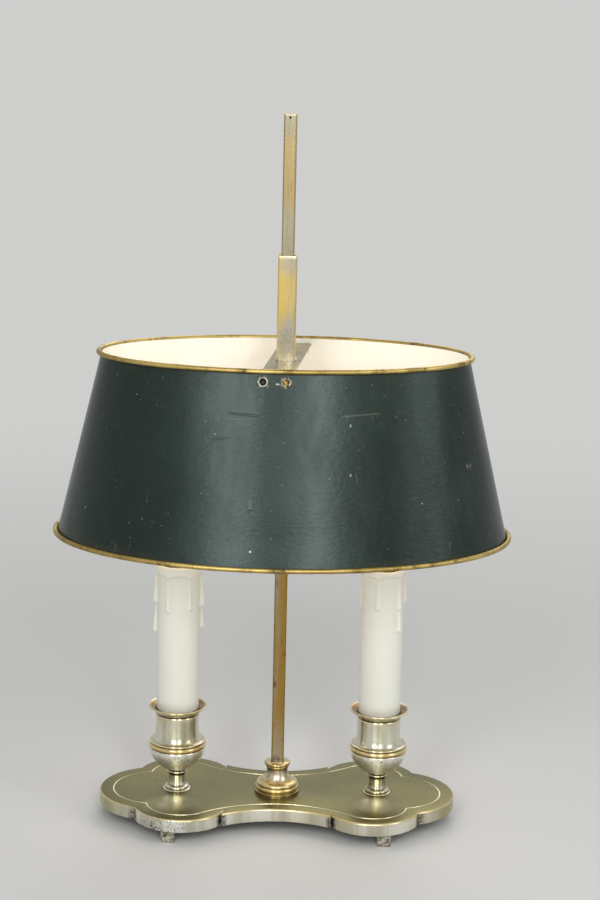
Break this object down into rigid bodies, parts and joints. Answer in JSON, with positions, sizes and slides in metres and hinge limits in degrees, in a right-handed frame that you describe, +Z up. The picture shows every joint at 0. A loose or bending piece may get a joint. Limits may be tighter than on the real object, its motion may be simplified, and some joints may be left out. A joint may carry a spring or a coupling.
{
  "type": "bouillotte lamp",
  "caption": "Bouillotte table lamp with candle sleeves in turned cups, a lobed metal base and an oval painted metal shade that slides on a square rod.",
  "frame": {"origin": "on the table under the middle of the rod, which is the middle of the base", "axes": "+X along the base towards the right-hand light, -Y towards the front, +Z up the rod"},
  "size_m": [0.2902, 0.19, 0.453],
  "materials": {
    "plated_brass": "silver plate worn through to brass, satin",
    "rod_brass": "thin silver plate with ochre wear, satin",
    "crossbar_brass": "dull plated brass strip",
    "gilt_brass": "warm gold-coloured brass, satin",
    "rim_brass": "gold paint rubbed dark in places",
    "cast_metal": "rough grey cast metal",
    "plain_brass": "machined, bright",
    "steel": "zinc plated",
    "filament": "glowing",
    "glass": "clear",
    "candle": "off-white, matte",
    "black_plastic": "moulded, matte",
    "black_rubber": "moulded, matte",
    "cover_paint": "dark green paint, matte",
    "shade_paint": "dark green-black satin paint, white inside",
    "wire_cover": "brown wire cover",
    "splice_cover": "red splice cover"
  },
  "bodies": {
    "base": {"base_plate": "plated_brass", "foot_front_left": "cast_metal", "foot_front_right": "cast_metal", "foot_back_left": "cast_metal", "foot_back_right": "cast_metal", "foot_screws": "steel", "underside_cover": "cover_paint", "cover_screws": "steel", "cord_grommet": "black_rubber", "stem_collar": "gilt_brass", "stem_rod": "rod_brass", "stem_washer": "steel", "stem_nut": "plain_brass", "left_cup": "plated_brass", "right_cup": "plated_brass", "left_drip_pan": "gilt_brass", "right_drip_pan": "gilt_brass", "left_tie_tube": "plain_brass", "right_tie_tube": "plain_brass", "tie_tube_washers": "steel", "tie_tube_nuts": "plain_brass", "holder_nuts": "plain_brass", "left_holder_bracket": "steel", "right_holder_bracket": "steel", "left_lampholder": "black_plastic", "right_lampholder": "black_plastic", "left_socket_shell": "plain_brass", "right_socket_shell": "plain_brass", "left_contact": "plain_brass", "right_contact": "plain_brass", "left_bulb_cap": "steel", "right_bulb_cap": "steel", "left_bulb_glass": "glass", "right_bulb_glass": "glass", "left_filament": "filament", "right_filament": "filament", "left_candle_sleeve": "candle", "right_candle_sleeve": "candle", "left_lead": "wire_cover", "right_lead": "wire_cover", "wire_splices": "splice_cover"},
    "shade": {"shade_shell": "shade_paint", "shade_top_rim": "rim_brass", "shade_bottom_rim": "rim_brass", "crossbar": "crossbar_brass", "slider_sleeve": "rod_brass", "friction_spring": "steel", "solid_rivets": "gilt_brass", "hollow_rivets": "gilt_brass"}
  },
  "joints": [
    {"name": "shade_slide", "type": "slide", "parent": "base", "child": "shade", "axis": [0, 0, 1], "range_m": [-0.185, 0.08]}
  ]
}
